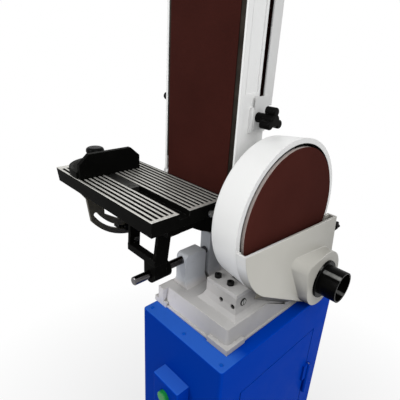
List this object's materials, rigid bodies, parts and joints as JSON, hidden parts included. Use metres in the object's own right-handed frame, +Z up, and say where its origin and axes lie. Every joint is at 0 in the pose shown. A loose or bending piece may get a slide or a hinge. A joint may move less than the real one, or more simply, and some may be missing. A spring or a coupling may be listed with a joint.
{
  "type": "belt and disc sander",
  "caption": "Floor-standing belt and disc sander with a tilting upright belt arm, shrouded sanding disc with dust port, tilting work table, miter gauge and cabinet stand.",
  "frame": {"origin": "on the floor, at the middle of the stand and of its floor bolts", "axes": "+X along the drive shaft towards the disc, +Y from the belt's working face to the back, +Z up"},
  "size_m": [0.465, 0.494, 1.3153],
  "materials": {
    "blue_paint": "gloss",
    "bright_steel": "machined",
    "black_steel": "black oxide",
    "grey_paint": "satin",
    "motor_paint": "satin",
    "white_paint": "gloss",
    "guard_paint": "satin",
    "abrasive": "grit",
    "alloy": "turned",
    "belt_rubber": "matt",
    "gloss_black": "gloss",
    "black_plastic": "matt",
    "black_paint": "satin",
    "bar_steel": "ground",
    "quadrant_steel": "mill",
    "platen_iron": "ground",
    "start_green": "gloss",
    "stop_red": "gloss"
  },
  "bodies": {
    "stand": {"stand_cabinet": "blue_paint", "stand_rivets": "bright_steel", "hinge_pins": "bright_steel", "base_casting": "grey_paint", "base_bolts": "black_steel", "side_plug": "bright_steel", "table_bar": "bright_steel", "bar_grub_screws": "bright_steel", "spindle_housing": "grey_paint", "housing_screws": "black_steel", "spindle_bearings": "bright_steel", "motor_body": "motor_paint", "motor_fan_cover": "motor_paint", "v_belt": "belt_rubber", "belt_guard": "motor_paint", "terminal_box": "black_plastic", "motor_bracket": "motor_paint", "motor_bolts": "bright_steel", "bracket_bolts": "bright_steel", "disc_shroud": "white_paint", "shroud_bolts": "bright_steel", "lower_guard": "guard_paint", "dust_port": "gloss_black", "switch_box": "blue_paint"},
    "door": {"stand_door": "blue_paint", "door_pull": "bright_steel"},
    "spindle": {"drive_shaft": "bright_steel", "drive_drum": "alloy", "disc_plate": "alloy", "abrasive_disc": "abrasive", "driven_pulley": "alloy"},
    "motor_rotor": {"motor_shaft": "bright_steel", "motor_pulley": "alloy"},
    "guard_screw": {"guard_knob": "gloss_black"},
    "belt_arm": {"arm_frame": "white_paint", "arm_bearing": "bright_steel", "arm_clamp_bolt": "bright_steel", "platen": "platen_iron", "sanding_belt": "abrasive", "rear_cover": "white_paint", "tension_spring": "bright_steel"},
    "fork": {"idler_fork": "alloy", "idler_axle": "bright_steel"},
    "idler": {"idler_roller": "alloy", "idler_bearings": "bright_steel"},
    "lever": {"tension_lever": "black_paint"},
    "tracking": {"tracking_knob": "gloss_black"},
    "right_clamp": {"cover_knob_right": "gloss_black"},
    "left_clamp": {"cover_knob_left": "gloss_black"},
    "table_carriage": {"table_bracket": "black_paint", "table_quadrant": "quadrant_steel", "leg_bolt": "bright_steel"},
    "table": {"table_top": "black_paint", "pivot_bolts": "bright_steel"},
    "tilt_lock": {"tilt_lock_knob": "gloss_black"},
    "miter_slider": {"miter_bar": "bar_steel"},
    "miter_swivel_head": {"miter_head": "black_paint"},
    "miter_clamp": {"miter_knob": "gloss_black"},
    "start": {"start_button": "start_green"},
    "stop": {"stop_button": "stop_red"}
  },
  "joints": [
    {"name": "door_swing", "type": "hinge", "parent": "stand", "child": "door", "pos_m": [0.1004, 0.115, 0.29], "axis": [0, 0, 1], "range_deg": [0, 110]},
    {"name": "spindle_spin", "type": "hinge", "parent": "stand", "child": "spindle", "pos_m": [0, 0, 0.775], "axis": [1, 0, 0], "continuous": true},
    {"name": "motor_spin", "type": "hinge", "parent": "stand", "child": "motor_rotor", "pos_m": [-0.024, 0.2, 0.662], "axis": [1, 0, 0], "continuous": true},
    {"name": "guard_knob_turn", "type": "hinge", "parent": "stand", "child": "guard_screw", "pos_m": [0.076, 0.135, 0.718], "axis": [0, 1, 0], "range_deg": [-180, 180]},
    {"name": "arm_tilt", "type": "hinge", "parent": "stand", "child": "belt_arm", "pos_m": [0, 0, 0.775], "axis": [-1, 0, 0], "range_deg": [0, 90]},
    {"name": "fork_slide", "type": "slide", "parent": "belt_arm", "child": "fork", "axis": [0, 0, 1], "range_m": [-0.008, 0], "deforming": ["tension_spring"]},
    {"name": "idler_spin", "type": "hinge", "parent": "fork", "child": "idler", "pos_m": [-0.114, 0, 1.27203], "axis": [1, 0, 0], "continuous": true},
    {"name": "lever_turn", "type": "hinge", "parent": "belt_arm", "child": "lever", "pos_m": [-0.206, 0, 1.12], "axis": [1, 0, 0], "range_deg": [0, 60]},
    {"name": "tracking_turn", "type": "hinge", "parent": "belt_arm", "child": "tracking", "pos_m": [-0.028, -0.004, 1.171], "axis": [1, 0, 0], "range_deg": [-180, 180]},
    {"name": "right_knob_turn", "type": "hinge", "parent": "belt_arm", "child": "right_clamp", "pos_m": [-0.021, 0.008, 0.917], "axis": [1, 0, 0], "range_deg": [-180, 180]},
    {"name": "left_knob_turn", "type": "hinge", "parent": "belt_arm", "child": "left_clamp", "pos_m": [-0.207, 0.008, 0.917], "axis": [1, 0, 0], "range_deg": [-180, 180]},
    {"name": "table_slide", "type": "slide", "parent": "stand", "child": "table_carriage", "axis": [0, 1, 0], "range_m": [-0.03, 0.003]},
    {"name": "table_tilt", "type": "hinge", "parent": "table_carriage", "child": "table", "pos_m": [-0.034, -0.084, 0.773], "axis": [-1, 0, 0], "range_deg": [0, 45]},
    {"name": "tilt_lock_turn", "type": "hinge", "parent": "table", "child": "tilt_lock", "pos_m": [-0.247, -0.10573, 0.67078], "axis": [1, 0, 0], "range_deg": [-90, 90]},
    {"name": "miter_slide", "type": "slide", "parent": "table", "child": "miter_slider", "axis": [1, 0, 0], "range_m": [-0.03, 0.12]},
    {"name": "miter_swivel", "type": "hinge", "parent": "miter_slider", "child": "miter_swivel_head", "pos_m": [-0.255, -0.1395, 0.791], "axis": [0, 0, 1], "range_deg": [-45, 45]},
    {"name": "miter_knob_turn", "type": "hinge", "parent": "miter_slider", "child": "miter_clamp", "pos_m": [-0.2835, -0.1395, 0.81], "axis": [0, 0, 1], "range_deg": [-180, 180]},
    {"name": "start_press", "type": "slide", "parent": "stand", "child": "start", "axis": [0, 1, 0], "range_m": [0, 0.0035], "stiffness_N_per_m": 800, "springref_m": -0.001},
    {"name": "stop_press", "type": "slide", "parent": "stand", "child": "stop", "axis": [0, 1, 0], "range_m": [0, 0.0035], "stiffness_N_per_m": 800, "springref_m": -0.001}
  ],
  "couplings": [
    {"joint": "motor_spin", "follows": "spindle_spin", "ratio": 0.87616},
    {"joint": "idler_spin", "follows": "spindle_spin", "ratio": 1},
    {"joint": "lever_turn", "follows": "fork_slide", "rad_per_m": -130.9}
  ]
}
